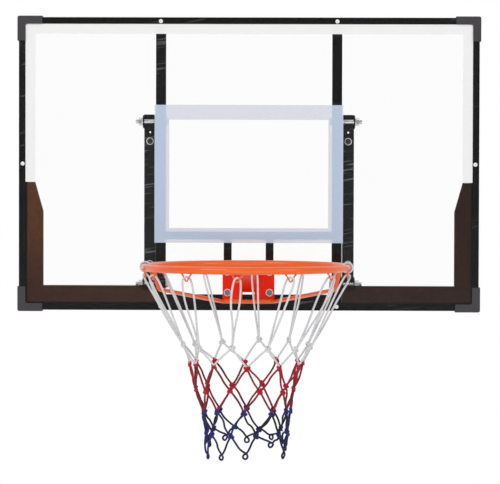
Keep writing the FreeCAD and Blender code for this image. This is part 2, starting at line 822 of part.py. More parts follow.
def build_clevis(side, level):
    clevis = new_body(
        "clevis_%s_%s" % (level, side),
        x=SIDES[side] + " * rail_spacing / 2",
        y="-rail_depth",
        z=LEVELS[level] + " * clevis_rows / 2",
    )
    half = "(%s) / 2" % CLEVIS_WIDTH
    inner = half + " - clevis_wall"
    reach = "-(panel_standoff - upright_tube / 2 + clevis_edge - rail_depth)"
    outline = new_sketch(clevis, "XY_Plane")
    right = [(half, "0"), (half, reach), (inner, reach), (inner, "-clevis_wall")]
    left = [("-(%s)" % x, y) for x, y in reversed(right)]
    polygon(outline, right + left)
    pad(clevis, outline, "clevis_height", "Symmetric")
    hole = new_sketch(clevis, "YZ_Plane")
    circle(hole, "clevis_bolt_radius + bolt_clearance", CLEVIS_BOLT_Y + " + rail_depth")
    pocket(clevis, hole, side="Symmetric")
    rounded(clevis, "clevis_corner", lambda edge: along(edge, Vector(1, 0, 0)) and is_clevis_nose(edge))


def is_clevis_nose(edge):
    """True for the four edges at the open end of a clevis."""
    nose = size("panel_standoff") - size("upright_tube") / 2 + size("clevis_edge") - size("rail_depth")
    return abs(edge.Vertexes[0].Point.y + nose) < NEAR


def build_clevis_fasteners():
    rows = [("0", level + " * clevis_rows / 2") for level in LEVELS.values()]
    bolts = new_body("clevis_bolts", y=CLEVIS_BOLT_Y)
    plain = new_body("clevis_washers", y=CLEVIS_BOLT_Y)
    nuts = new_body("clevis_nuts", y=CLEVIS_BOLT_Y)
    inside = "upright_spacing / 2 - upright_tube / 2"
    outside = UPRIGHT_FACE + " + " + CLEVIS_WIDTH
    ends = "clevis_washer_thickness + clevis_nut_height + clevis_bolt_tail"
    shank = "upright_tube + %s + %s" % (CLEVIS_WIDTH, ends)
    for sign in SIDES.values():
        outwards = sign == "1"
        at = sign + " * (%s)"
        hex_heads(bolts, "YZ_Plane", rows, "clevis_hex_flats", "clevis_head_height", at % inside, outwards)
        shanks(bolts, "YZ_Plane", rows, "clevis_bolt_radius", shank, at % inside, not outwards)
        washers(plain, "YZ_Plane", rows, "clevis_washer_radius", "clevis_bolt_radius + bolt_clearance",
                "clevis_washer_thickness", at % outside, not outwards)
        hex_nuts(nuts, "YZ_Plane", rows, "clevis_hex_flats", "clevis_bolt_radius + thread_clearance",
                 "clevis_nut_height", at % (outside + " + clevis_washer_thickness"), not outwards)


def build_wall_bolts():
    places = four_places("rail_spacing", "wall_bolt_rows")
    bolts = new_body("wall_bolts", y="-rail_depth - wall_washer_thickness")
    shanks(bolts, "XZ_Plane", places, "wall_head_radius", "wall_head_height")
    shanks(bolts, "XZ_Plane", places, "wall_neck_radius", "wall_washer_thickness + rail_depth", back=True)
    shanks(bolts, "XZ_Plane", places, "wall_bolt_radius", "wall_bolt_grip",
           "-wall_washer_thickness - rail_depth", back=True)
    top = -size("wall_head_height")
    rounded(bolts, "wall_head_round", lambda edge: is_rim_at(edge, top, size("wall_head_radius")))
    sockets = new_sketch(bolts, "XZ_Plane", "wall_head_height")
    for x, z in places:
        hexagon(sockets, "wall_socket_flats", x, z)
    pocket(bolts, sockets, "wall_socket_depth")
    plain = new_body("wall_washers", y="-rail_depth")
    washers(plain, "XZ_Plane", places, "wall_washer_radius", "wall_bolt_radius + bolt_clearance",
            "wall_washer_thickness")


build_panel()
build_border_film()
build_target_film()
for side_name in SIDES:
    build_corner_film(side_name)
build_frame()
build_uprights()
build_crossbars()
build_struts()
for z_name, z_sign in (("top", "1"), ("bottom", "-1")):
    for x_name, x_sign in SIDES.items():
        build_corner_cap(x_name, z_name, x_sign, z_sign)
build_board_screws()
build_ring()
build_rim_plate()
build_rim_arm()
build_brace()
build_hooks()
build_rim_fasteners()
build_net()
for side_name in SIDES:
    build_wall_rail(side_name)
    for level_name in LEVELS:
        build_clevis(side_name, level_name)
build_clevis_fasteners()
build_wall_bolts()

doc.recompute()
for item in doc.Objects:
    if "Invalid" in item.State or "Error" in item.State:
        raise RuntimeError("%s did not build: %s" % (item.Label, item.State))
for part in sub_parts:
    if part.Shape.isNull() or not part.Shape.isValid():
        raise RuntimeError("%s has no valid shape" % part.Label)
os.makedirs("parts", exist_ok=True)
for part in sub_parts:
    part.Shape.exportStep("parts/%s.step" % part.Label)
    print(part.Label, len(part.Shape.Solids), round(part.Shape.Volume, 1), part.Shape.BoundBox)
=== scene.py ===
# %% [markdown]
# # A wall-hung basketball backboard
# The board is a clear plastic sheet on a black tube frame, with stuck-on films, a bolted rim and a
# three-coloured cord net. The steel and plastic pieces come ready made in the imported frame. This lesson
# gives each of them a finish made of nodes, ties a new net, adds weld beads and threads, and sets up the
# light and the camera.

import math
import random

import bmesh
import bpy
from mathutils import Color, Matrix, Vector


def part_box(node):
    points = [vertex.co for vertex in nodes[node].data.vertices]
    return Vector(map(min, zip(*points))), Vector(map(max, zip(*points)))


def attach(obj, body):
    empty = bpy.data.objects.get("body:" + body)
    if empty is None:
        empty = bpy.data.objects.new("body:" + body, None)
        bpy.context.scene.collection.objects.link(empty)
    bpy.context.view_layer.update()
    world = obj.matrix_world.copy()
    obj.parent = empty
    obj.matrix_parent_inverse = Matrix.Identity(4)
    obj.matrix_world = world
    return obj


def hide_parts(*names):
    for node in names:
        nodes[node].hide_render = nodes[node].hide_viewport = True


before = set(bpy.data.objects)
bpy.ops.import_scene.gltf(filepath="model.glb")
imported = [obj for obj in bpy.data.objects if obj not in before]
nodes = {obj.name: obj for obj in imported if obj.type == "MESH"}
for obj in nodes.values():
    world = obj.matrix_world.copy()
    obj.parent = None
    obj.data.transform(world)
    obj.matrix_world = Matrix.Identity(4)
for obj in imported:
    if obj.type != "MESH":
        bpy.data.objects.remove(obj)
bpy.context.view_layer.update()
MM = 0.001

# %% [markdown]
# ## Writing finishes as sums
# A finish is a tree of nodes, and wiring it by hand soon hides the idea behind it. A small class can wrap
# a socket and let Python's own operators add the Math nodes, so a mask reads as a sum. Every other node
# comes from one method, which takes the node's type, its settings and what goes into its sockets.

# %% A socket that can be added and multiplied
class Value:
    """One output of a node, for use in plain arithmetic."""

    def __init__(self, finish, socket):
        self.finish = finish
        self.socket = socket

    def math(self, operation, other=0.0, turned=False):
        pair = (other, self) if turned else (self, other)
        return self.finish.add("Math", {"operation": operation}, dict(enumerate(pair)))

    def __add__(self, other):
        return self.math("ADD", other)

    def __radd__(self, other):
        return self.math("ADD", other, True)

    def __sub__(self, other):
        return self.math("SUBTRACT", other)

    def __rsub__(self, other):
        return self.math("SUBTRACT", other, True)

    def __mul__(self, other):
        return self.math("MULTIPLY", other)

    def __rmul__(self, other):
        return self.math("MULTIPLY", other, True)

    def held(self, low, high):
        """The value carried from low..high to 0..1, and kept there."""
        ends = {"Value": self, "From Min": low, "From Max": high}
        return self.finish.add("MapRange", {"clamp": True}, ends)

    def beside(self, output):
        """Another output of the same node."""
        return Value(self.finish, self.socket.node.outputs[output])


# %% A finish and its nodes
class Finish:
    """One material, built node by node."""

    def __init__(self, name):
        self.material = bpy.data.materials.new(name)
        self.material.use_nodes = True
        self.tree = self.material.node_tree
        self.tree.nodes.clear()

    def add(self, kind, settings=None, sockets=None, out=0):
        node = self.tree.nodes.new("ShaderNode" + kind)
        for name, setting in (settings or {}).items():
            setattr(node, name, setting)
        for name, what in (sockets or {}).items():
            if isinstance(what, Value):
                self.tree.links.new(what.socket, node.inputs[name])
            else:
                node.inputs[name].default_value = what
        return Value(self, node.outputs[out]) if node.outputs else None

    def place(self, stretch=(1, 1, 1), turn=(0, 0, 0)):
        """Object coordinates, turned and then multiplied along each axis."""
        sockets = {"Vector": self.add("TexCoord", out="Object"), "Rotation": turn}
        sockets["Scale"] = [1 / share for share in stretch]
        return self.add("Mapping", {"vector_type": "TEXTURE"}, sockets)

    def part_of(self, where, axis):
        """The X, Y or Z of a vector."""
        return self.add("SeparateXYZ", {}, {"Vector": where}, axis)

    def noise(self, where, scale, detail=3.0, roughness=0.5):
        sockets = {"Vector": where, "Scale": scale, "Detail": detail, "Roughness": roughness}
        return self.add("TexNoise", {}, sockets, "Fac")

    def tint(self, share, first, second):
        """A colour between two others."""
        return self.add("Mix", {"data_type": "RGBA"}, {0: share, 6: first, 7: second}, 2)

    def blend(self, share, first, second):
        """A shader between two others."""
        return self.add("MixShader", {}, {0: share, 1: first, 2: second})

    def bump(self, height, depth):
        return self.add("Bump", {}, {"Height": height, "Distance": depth, "Strength": 1.0})

    def surface(self, sockets):
        return self.add("BsdfPrincipled", {}, sockets)

    def see_through(self, colour):
        return self.add("BsdfTransparent", {}, {"Color": colour})

    def done(self, shader):
        self.add("OutputMaterial", {}, {"Surface": shader})
        print("finish:", self.material.name, len(self.tree.nodes), "nodes")
        return self.material


CLEAR = (1, 1, 1, 1)


def dye(red, green, blue):
    """A colour written as on a paint card, 0 to 255, made linear for a socket."""
    card = Color((red / 255, green / 255, blue / 255))
    return (*card.from_srgb_to_scene_linear(), 1)


# %% [markdown]
# ## Black powder coat
# The tubes and wall brackets are mild steel under a black powder coat, which cures with a slight
# orange-peel skin. One black of one roughness would look like plastic, so noises break it up. A fine one
# gives the skin through a bump, and a stretched one dulls the gloss in rubbed streaks. Another, stretched
# much further, paints thin slanted pale lines like scratches. They are painted reflections: they stand
# for the glints of a wrapping film left on the tubes. The wall rails have more of them than the frame, so
# how many of these glint lines a coat gets comes in as an argument.

# %% Black coat
RUBBED_STRETCH = (40, 40, 8)
GLINT_LINE_STRETCH = (9, 9, 170)
GLINT_LINE_TURN = (0, -0.17, 0)


def black_coat(name, glint_scratches):
    coat = Finish(name)
    where = coat.place()
    peel = coat.noise(where, 900)
    rubbed = coat.noise(coat.place(RUBBED_STRETCH), 3, 5).held(0.45, 0.75)
    dust = coat.noise(where, 55, 6).held(0.55, 0.8)
    # Painted reflection: thin slanted pale lines that stand for the glints of a wrapping film.
    lines = coat.noise(coat.place(GLINT_LINE_STRETCH, GLINT_LINE_TURN), 1, 3)
    glint_line_mask = lines.held(0.67 - glint_scratches * 0.1, 0.7 - glint_scratches * 0.06)
    patches = coat.noise(where, 9).held(0.6 - glint_scratches * 0.26, 0.65 - glint_scratches * 0.1)
    colour = coat.tint(dust * 0.14 + rubbed * 0.08, dye(8, 8, 9), dye(54, 53, 56))
    return coat.done(coat.surface({
        "Base Color": coat.tint(glint_line_mask * patches * glint_scratches, colour, dye(110, 110, 114)),
        "Roughness": 0.36 + rubbed * 0.16,
        "Specular IOR Level": 0.15,
        "Normal": coat.bump(peel, 0.04 * MM),
    }))


# %% [markdown]
# ## Moulded caps
# The corner caps are moulded in a dark grey plastic with a fine grain. Modelling the grain would take far
# too many faces, so a dense noise puts it into the bump. Handling leaves paler scuffs where a broad noise
# passes its threshold.

# %% Cap plastic
SCUFF_STRETCH = (1, 1, 5)


def cap_plastic():
    plastic = Finish("cap_plastic")
    where = plastic.place()
    grain = plastic.noise(where, 1400, 2)
    scuffs = plastic.noise(plastic.place(SCUFF_STRETCH), 60, 7, 0.65).held(0.56, 0.74)
    clouds = plastic.noise(where, 18)
    colour = plastic.tint(clouds, dye(50, 48, 51), dye(60, 57, 61))
    return plastic.done(plastic.surface({
        "Base Color": plastic.tint(scuffs * 0.2, colour, dye(112, 108, 110)),
        "Roughness": 0.46 + grain * 0.14 - scuffs * 0.06,
        "Normal": plastic.bump(grain, 0.07 * MM),
    }))


# %% [markdown]
# ## Orange and red coats on the rim
# The ring and brace are coated orange and the plate and arm a deeper red. Both are thick coats that flow
# at the edges. A low roughness would sharpen every reflection, so a clear coat layer lies over a rougher
# base: the highlight stays sharp and the colour soft, which is how a powder coat shines. Balls and
# weather leave small dull spots. The plate and arm shine less than the ring, so the shine is an argument.

# %% Rim coats
def rim_coat(name, fresh, worn, shine):
    coat = Finish(name)
    where = coat.place()
    peel = coat.noise(where, 420)
    spots = coat.noise(where, 130, 6, 0.6).held(0.6, 0.72)
    clouds = coat.noise(where, 9)
    return coat.done(coat.surface({
        "Base Color": coat.tint(clouds * 0.5 + spots * 0.35, fresh, worn),
        "Roughness": 0.4 + spots * 0.2,
        "Specular IOR Level": shine / 2,
        "Coat Weight": shine - spots * (shine / 2),
        "Coat Roughness": 0.08,
        "Normal": coat.bump(peel, 0.05 * MM),
    }))


# %% [markdown]
# ## Zinc on the fasteners
# Most nuts, bolts, washers and screws here are zinc plated: a bright grey metal, mottled by the crystals
# of the plating and stained in places. A noise would make clouds, so a cell pattern in the roughness and
# the bump makes the crystals. A fresh washer looks milky rather than mirror bright, because its crystals
# scatter the light. So the share of metal and the brightness are arguments, and the washers and screws
# that face the front have their own.

# %% Zinc plating
def zinc_plating(name, metal, bright):
    zinc = Finish(name)
    where = zinc.place()
    crystals = zinc.add("TexVoronoi", {}, {"Vector": where, "Scale": 700.0}, "Distance")
    stain = zinc.noise(where, 160, 5).held(0.4, 0.75)
    return zinc.done(zinc.surface({
        "Base Color": zinc.tint(stain * 0.6, bright, dye(200, 198, 196)),
        "Metallic": metal - stain * 0.2,
        "Roughness": 0.1 + crystals * 0.14 + stain * 0.1,
        "Normal": zinc.bump(crystals, 0.02 * MM),
    }))


# %% [markdown]
# ## Blackened bolts
# The bolts that hold the rim and the wall rails are blackened steel on bright washers, so each shows as a
# dark head in a pale ring. Black paint would hide the metal. Blackening is a thin oxide that stays
# metallic, with a soft sheen where the oil has dried, so the finish is a dark metal with an uneven
# roughness. The heads on the rim get a paler tone, a painted reflection that stands for the glints they
# catch, so the tone is an argument.

# %% Blackened steel
def blackened_steel(name, tone):
    steel = Finish(name)
    where = steel.place()
    oil = steel.noise(where, 240, 4).held(0.35, 0.7)
    worn = steel.noise(where, 700, 3).held(0.62, 0.75)
    return steel.done(steel.surface({
        "Base Color": steel.tint(worn * 0.5, tone, dye(200, 200, 206)),
        "Metallic": 0.95 - oil * 0.2,
        "Roughness": 0.2 + oil * 0.2,
        "Normal": steel.bump(oil, 0.02 * MM),
    }))


# %% [markdown]
# ## The clear sheet
# The board is a clear plastic sheet a few millimetres thick. Real refraction through so thin a flat sheet
# moves nothing that can be seen, and it would keep the lamps from lighting the steel behind. So the sheet
# mixes a straight see-through shader with a glossy surface, and the share of gloss follows the angle, as
# it does on any polished plastic: the rim and the cords are mirrored faintly in it. A ray meets the front
# face and the back face, so each gets about half of the gloss. Wiping leaves faint arcs, which only
# change how sharp the gloss is.

# %% Clear sheet
FACE_GLOSS = 0.023
WIPED_STRETCH = (9, 9, 26)
WIPED_TURN = (0, 0.5, 0)


def clear_sheet():
    sheet = Finish("clear_plastic")
    wiped = sheet.noise(sheet.place(WIPED_STRETCH, WIPED_TURN), 1.2, 6, 0.6).held(0.45, 0.8)
    haze = sheet.noise(sheet.place(), 5, 4).held(0.5, 0.9)
    gloss = sheet.surface({
        "Base Color": sheet.tint(haze, dye(250, 251, 252), dye(232, 234, 238)),
        "Roughness": 0.03 + wiped * 0.06,
        "Metallic": 1.0,
    })
    slant = sheet.add("LayerWeight", {}, {"Blend": 0.5}, "Facing")
    share = slant.math("POWER", 5) * (1 - FACE_GLOSS) + FACE_GLOSS
    return sheet.done(sheet.blend(share, sheet.see_through(CLEAR), gloss))


# %% [markdown]
# ## Films
# Four printed films are stuck on the sheet: a white border, a pale target that lets some light through,
# and two dark brown corners. A thin film passes a little of what lies behind it, tinted by its ink. Alpha
# alone would pass it untinted, so each film is a mix of a satin surface and a tinted see-through shader.
# The ink lies on the front face alone, and the face against the sheet is left clear: otherwise the light
# would be tinted twice. The left corner lets a little more through than the right one, and it is darker
# towards the bottom.

# %% Films
film_low, film_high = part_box("target_film")
FILM_MIDDLE = (film_low.y + film_high.y) / 2
FILM_STEP = (film_high.y - film_low.y) / 10
DARKER_FROM, DARKER_TO = -0.05, -0.2


def printed_film(name, ink, mottle, passed, cover, satin, darker_downwards=0.0):
    film = Finish(name)
    where = film.place()
    cloud = film.noise(where, 24, 4)
    fleck = film.noise(where, 600, 2)
    skin = film.surface({
        "Base Color": film.tint(cloud * 0.6 + fleck * 0.3, ink, mottle),
        "Roughness": satin + fleck * 0.12,
        "Specular IOR Level": 0.3,
        "Normal": film.bump(fleck, 0.015 * MM),
    })
    # Darker towards the bottom: more of the inked surface is mixed in lower down.
    lower = film.part_of(where, "Z").held(DARKER_FROM, DARKER_TO)
    front = film.part_of(where, "Y").held(FILM_MIDDLE + FILM_STEP, FILM_MIDDLE - FILM_STEP)
    printed = film.blend(cover + cloud * 0.02 + lower * darker_downwards, film.see_through(passed), skin)
    return film.done(film.blend(front, film.see_through(CLEAR), printed))


WHITE_INK = dye(237, 237, 237), dye(233, 233, 232), dye(255, 255, 255)
PALE_INK = dye(210, 226, 248), dye(204, 220, 244), dye(240, 204, 162)
BROWN_INK = dye(17, 15, 15), dye(23, 19, 18), dye(220, 140, 94)

# %% [markdown]
# ## Dressing the frame
# Now each piece gets its finish. Forty lines could name them one by one, but most pieces share a few
# finishes, and their names start alike. So a table goes by the start of the name, and whatever isn't in
# it is a zinc-plated fastener. The plain net may get any finish, because a new one takes its place.

# %% Dress the frame
zinc = zinc_plating("zinc_plating", 1.0, dye(222, 222, 226))
finishes = {
    "board_panel": clear_sheet(),
    "border_film": printed_film("border_ink", *WHITE_INK, cover=0.95, satin=0.35),
    "target_film": printed_film("target_ink", *PALE_INK, cover=0.73, satin=0.3),
    "corner_film_left": printed_film("brown_left", *BROWN_INK, cover=0.88, satin=0.2, darker_downwards=0.06),
    "corner_film_right": printed_film("brown_right", *BROWN_INK, cover=0.96, satin=0.2),
    "corner_cap": cap_plastic(),
    "rim_ring": rim_coat("orange_coat", dye(240, 98, 18), dye(224, 82, 12), shine=0.6),
    "rim_plate": rim_coat("red_coat", dye(242, 36, 2), dye(230, 30, 2), shine=0.2),
    "frame": black_coat("black_coat", glint_scratches=0.5),
    "wall_rail": black_coat("glint_lined_coat", glint_scratches=1.0),
    "rim_washers": zinc_plating("bright_zinc", 0.2, dye(254, 254, 255)),
    # Painted reflection: the rim bolts' paler tone stands for the glints on their heads.
    "rim_bolts": blackened_steel("glint_paled_steel", dye(136, 137, 150)),
    "wall_bolts": blackened_steel("blackened_steel", dye(74, 74, 84)),
}
ALIKE = {
    "rim_ring": ("rim_brace", "net_hooks"),
    "rim_plate": ("rim_arm",),
    "frame": ("upright", "crossbar", "strut", "clevis_upper", "clevis_lower"),
    "rim_washers": ("board_screws", "wall_washers"),
}
for first, others in ALIKE.items():
    for other in others:
        finishes[other] = finishes[first]


def finish_of(name):
    for start, material in finishes.items():
        if name.startswith(start):
            return material
    return zinc


for name, piece in nodes.items():
    for slot in piece.material_slots:
        slot.material = finish_of(name)
print("dressed:", len(nodes), "pieces")

# %% [markdown]
# ## Cord
# The net is braided nylon cord. The yarns could be modelled one by one, but on so thin a cord a pattern
# looks the same. Each strand carries a UV map with its length along U, so a braid of two crossing waves
# can run along it whatever way it hangs. The crossing waves raise the bump, and they also paint shade
# into the hollows between the yarns: a darker colour where shade would fall. The same dark colour is
# the one that dirt soils the cord towards. Dye takes unevenly on such cord, so a broad noise goes from a
# dull yarn to a lively one.

# %% Cord finish
BRAID_STEP = 4.2 * MM
BRAID_YARNS = 2


def braided_cord(name, yarn, lively, hollow_shade_and_dirt):
    cord = Finish(name)
    where = cord.place()
    along = cord.part_of(cord.add("UVMap", {"uv_map": "cord"}), "X")
    around = along.beside("Y")
    steps = along * (2 * math.pi / BRAID_STEP)
    lean = around * (2 * math.pi * BRAID_YARNS)
    braid = (steps + lean).math("SINE") * (steps - lean).math("SINE")
    fuzz = cord.noise(where, 900, 4)
    soiled = cord.noise(where, 14, 5).held(0.5, 0.85)
    dyed = cord.noise(where, 17, 2).held(0.4, 0.62)
    # Painted shade: the hollows of the braid take the darker colour, as shade would darken them.
    relief_and_shade = (braid * 0.5 + 0.5) * 0.8 + fuzz * 0.2
    colour = cord.tint(relief_and_shade, hollow_shade_and_dirt, cord.tint(dyed, yarn, lively))
    return cord.done(cord.surface({
        "Base Color": cord.tint(soiled * 0.3, colour, hollow_shade_and_dirt),
        "Roughness": 0.7 + fuzz * 0.2,
        "Normal": cord.bump(relief_and_shade, 0.28 * MM),
    }))


# %% [markdown]
# ## The net
# Twelve loops of white cord hang from the hooks and meet in knots. Below them red and then blue rows are
# tied, each half a step round from the one above. A cloth simulation could drape the net, but every
# change would make it settle in another way. A limp net doesn't hang evenly, though: it has twisted a
# little on its way down, and its knots crowd towards the sides. So each row has a drop, a radius, a twist
# and a crowding, and a seeded draw moves every knot by a few millimetres more.

# %% Where the net hangs
ring_low, ring_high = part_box("rim_ring")
RING = (ring_low + ring_high) / 2
ROD = ring_high.z - ring_low.z
RING_RADIUS = (ring_high.x - ring_low.x - ROD) / 2
HOOKS = 12
STEP = 2 * math.pi / HOOKS
HOOK_TURN = math.radians(-4)
CORD = 4.7 * MM
UP = Vector((0, 0, 1))
STRAY = 4 * MM
# Drop and radius in millimetres, twist in degrees, crowding in radians.
ROWS = [
    (178, 151, -6, 0.03),
    (223, 130, -10, 0.1),
    (279, 115, -11, 0.1),
    (332, 101, -12, 0.13),
    (378, 95, -12, 0.13),
]
draw = random.Random(7)


def around_ring(angle):
    """Unit vectors out from the ring's axis and along the ring, counted from the front."""
    out = Vector((math.sin(angle), -math.cos(angle), 0))
    return out, Vector((math.cos(angle), math.sin(angle), 0))


def astray(amount):
    return Vector([draw.uniform(-amount, amount) for axis in range(3)])


def row_angle(row, place, twist, crowd):
    angle = HOOK_TURN + STEP * (place + row % 2 / 2) + math.radians(twist)
    return angle + crowd * math.sin(2 * angle)


knots = []
for row, (drop, radius, twist, crowd) in enumerate(ROWS):
    turns = [row_angle(row, i, twist, crowd) for i in range(HOOKS)]
    hung = [RING + around_ring(turn)[0] * (radius * MM) - UP * (drop * MM) for turn in turns]
    knots.append([(turn, place + astray(STRAY)) for turn, place in zip(turns, hung)])
print("net:", sum(len(row) for row in knots), "knots on a ring of radius", round(RING_RADIUS, 4))

# %% [markdown]
# ## Laying cord
# A strand could be a chain of cylinders, but it would show every bend. A smooth spline with a round
# bevel, turned into a mesh, bends as cord does. Blender lays the bevel's UV map from 0 to 1 along each
# spline, so it is stretched by the spline's length: the braid then has one size on every strand. The end
# caps come as faces of their own, and merging their doubles closes the tube.

# %% Laying a cord
STRAND, TIE = 0, 1
CAP_SEAM = 0.001 * MM


def laid_cord(shape, points, closed=False, tone=STRAND, thickness=CORD):
    """Adds a cord along a smooth spline to a bmesh and returns its length."""
    curve = bpy.data.curves.new("strand", "CURVE")
    curve.dimensions = "3D"
    curve.bevel_depth = thickness / 2
    curve.bevel_resolution = 2
    curve.resolution_u = 6
    curve.use_fill_caps = not closed
    spline = curve.splines.new("NURBS")
    spline.points.add(len(points) - 1)
    for point, place in zip(spline.points, points):
        point.co = (*place, 1)
    spline.use_cyclic_u = closed
    spline.use_endpoint_u = not closed
    spline.order_u = 3
    length = spline.calc_length()
    strand = bpy.data.objects.new("strand", curve)
    mesh = bpy.data.meshes.new_from_object(strand)
    for corner in mesh.uv_layers[0].data:
        corner.uv.x *= length
    mesh.polygons.foreach_set("material_index", [tone] * len(mesh.polygons))
    tube = bmesh.new()
    tube.from_mesh(mesh)
    bmesh.ops.remove_doubles(tube, verts=tube.verts, dist=CAP_SEAM)
    tube.to_mesh(mesh)
    tube.free()
    shape.from_mesh(mesh)
    bpy.data.objects.remove(strand)
    bpy.data.curves.remove(curve)
    bpy.data.meshes.remove(mesh)
    return length


# %% [markdown]
# ## Tying knots
# Where strands meet, the cord is tied round itself into a lump. A ball would do from afar, but it has no
# strands. So a knot is the same cord on a closed spline, a trefoil, which is the simplest line that is
# truly knotted. It is made a little taller than wide, and each is turned by its own angle.

# %% Tying a knot
KNOT = 2.15 * MM
KNOT_TALL = 1.15
KNOT_DEEP = 1.3
KNOT_POINTS = 12


def tied_knot(shape, place, turn):
    out, along = around_ring(turn)
    spin = Matrix.Rotation(draw.uniform(0, math.pi), 3, out)
    points = []
    for i in range(KNOT_POINTS):
        t = 2 * math.pi * i / KNOT_POINTS
        across = math.sin(t) + 2 * math.sin(2 * t)
        upward = KNOT_TALL * (math.cos(t) - 2 * math.cos(2 * t))
        inward = KNOT_DEEP * math.sin(3 * t)
        points.append(place + spin @ (along * across + UP * upward) * KNOT - out * (inward * KNOT))
    return laid_cord(shape, points, True, TIE)


def row_knots(shape, row):
    return sum(tied_knot(shape, knot, turn) for turn, knot in knots[row])


# %% [markdown]
# ## Loops on the hooks
# Each white loop rests in the crook of its hook, and its two sides run down to one knot. Straight sides
# would look stretched, so each bows out below the hook and comes in again above the knot. The spline
# doubles its point at the crook, which pulls the bend tight over the wire.

# %% Loops on the hooks
HOOK_DEPTH = 19 * MM
LOOP_RISE = 12.6 * MM
LOOP_SPREAD = 8 * MM
LOOP_FALL = 5 * MM
LOOP_BOW = 0.3
BOW_AT, BOW_STRAY = 0.33, 4 * MM
LOW_AT, LOW_STRAY = 0.75, 3 * MM

white, red, blue = bmesh.new(), bmesh.new(), bmesh.new()
cord_length = 0
for i, (turn, knot) in enumerate(knots[0]):
    out, along = around_ring(HOOK_TURN + STEP * i)
    crook = RING + out * RING_RADIUS - UP * (ROD / 2 + HOOK_DEPTH - LOOP_RISE)
    aside = (out + along * (1 if out.x > 0 else -1)) * LOOP_SPREAD
    ends = [crook + aside - UP * LOOP_FALL, crook - aside - UP * LOOP_FALL]
    bows = [end.lerp(knot, BOW_AT) + (end - crook) * LOOP_BOW + astray(BOW_STRAY) for end in ends]
    lows = [end.lerp(knot, LOW_AT) + astray(LOW_STRAY) for end in ends]
    points = [knot, lows[0], bows[0], ends[0], crook, crook, ends[1], bows[1], lows[1], knot]
    cord_length += laid_cord(white, points)
cord_length += row_knots(white, 0)
print("loops and their knots:", round(cord_length, 2), "m of cord")

# %% [markdown]
# ## Turns round the ring
# At the two ends of the ring the cord also takes a few turns round the rod. Rings slipped on side by side
# would have no start or end, so the turns are one helix. Its points stand a little further out than the
# cord does, because a smooth spline cuts the corners between them.

# %% Turns round the ring
WRAPPED_HOOKS = (3, 9)
WRAP_TURNS = 2.5
WRAP_POINTS = 8
WRAP_PITCH = 5.2 * MM
WRAP_START = -0.75 * math.pi
wrap = (ROD + CORD) / 2 / math.cos(math.pi / WRAP_POINTS)
for i in WRAPPED_HOOKS:
    out, along = around_ring(HOOK_TURN + STEP * i)
    points = []
    for k in range(round(WRAP_TURNS * WRAP_POINTS) + 1):
        t = WRAP_START + 2 * math.pi * k / WRAP_POINTS
        centre = RING + out * RING_RADIUS + along * (k / WRAP_POINTS - WRAP_TURNS / 2) * WRAP_PITCH
        points.append(centre + out * (wrap * math.cos(t)) + UP * (wrap * math.sin(t)))
    cord_length += laid_cord(white, points)
print("with the turns round the ring:", round(cord_length, 2), "m of cord")

# %% [markdown]
# ## Rows of strands
# From every knot two strands run to its neighbours in the row beneath, which makes the diamonds of the
# net. The weight of a net is small, so its cord keeps some of the bends that it was packed with: two
# points between the knots are moved aside at random, and further in the lower rows. Where the colour
# changes, a strand ends a little above the knot, so that the knot shows in its own colour.

# %% Rows of strands
WHITE_BEND, RED_BEND, BLUE_BEND = 2 * MM, 4 * MM, 6 * MM
CHANGE_LIFT = 3 * MM


def strands_below(shape, row, bend, lift=0.0):
    """Bent strands from every knot of a row to its two neighbours in the row beneath."""
    length = 0
    shift = 0 if row % 2 else -1
    for i, (turn, start) in enumerate(knots[row]):
        for k in (shift, shift + 1):
            end = knots[row + 1][(i + k) % HOOKS][1] + UP * lift
            third = (end - start) / 3
            points = [start, start + third + astray(bend), end - third + astray(bend), end]
            length += laid_cord(shape, points)
    return length


cord_length += strands_below(white, 0, WHITE_BEND, CHANGE_LIFT)
cord_length += row_knots(red, 1) + strands_below(red, 1, RED_BEND)
cord_length += row_knots(red, 2) + strands_below(red, 2, RED_BEND, CHANGE_LIFT)
cord_length += row_knots(blue, 3) + strands_below(blue, 3, BLUE_BEND)
cord_length += row_knots(blue, 4)
print("with the rows of strands:", round(cord_length, 2), "m of cord")

# %% [markdown]
# ## The loose hem
# Below the last knots one more round of cord hangs slack from knot to knot and kinks into a small eye
# halfway. A formula would hang the eyes too evenly. They lean and drop each in its own way, so they have
# a short table. Where the cord crosses itself at an eye, one pass runs half a cord in front and the other
# half a cord behind.

# %% The loose hem
HEM_RADIUS = 92 * MM
HEM_STRAY = 5 * MM
HEM_DOWN, HEM_BACK = (0.35, 0.7), (0.3, 0.65)
EYE_LENGTH = 13 * MM
EYE_WIDTH = 5.5 * MM
EYE_BENDS = ((1, 0.4), (0.8, 1), (-0.8, 1), (-1, 0.4))
# Each eye's drop in millimetres and its lean in degrees.
EYES = [
    (432, -25), (404, -70), (434, -55), (420, 20), (408, -30), (402, 30),
    (412, -10), (404, 45), (416, -20), (400, -95), (436, 40), (436, -20),
]

for i, (drop, lean) in enumerate(EYES):
    first, second = knots[-1][i][1], knots[-1][(i + 1) % HOOKS][1]
    out, along = around_ring(row_angle(len(ROWS), i, *ROWS[-1][2:]))
    lean = math.radians(lean)
    down = along * math.sin(lean) - UP * math.cos(lean)
    aside = along * math.cos(lean) + UP * math.sin(lean)
    tip = RING + out * HEM_RADIUS - UP * (drop * MM)
    cross = tip - down * EYE_LENGTH
    front, back = cross + out * (CORD / 2), cross - out * (CORD / 2)
    eye = [cross + aside * x * EYE_WIDTH + down * y * EYE_LENGTH for x, y in EYE_BENDS]
    start = [first.lerp(front, share) + astray(HEM_STRAY) for share in HEM_DOWN]
    end = [back.lerp(second, share) + astray(HEM_STRAY) for share in HEM_BACK]
    cord_length += laid_cord(blue, [first, *start, front, *eye, back, *end, second])
print("net cord:", round(cord_length, 2), "m")
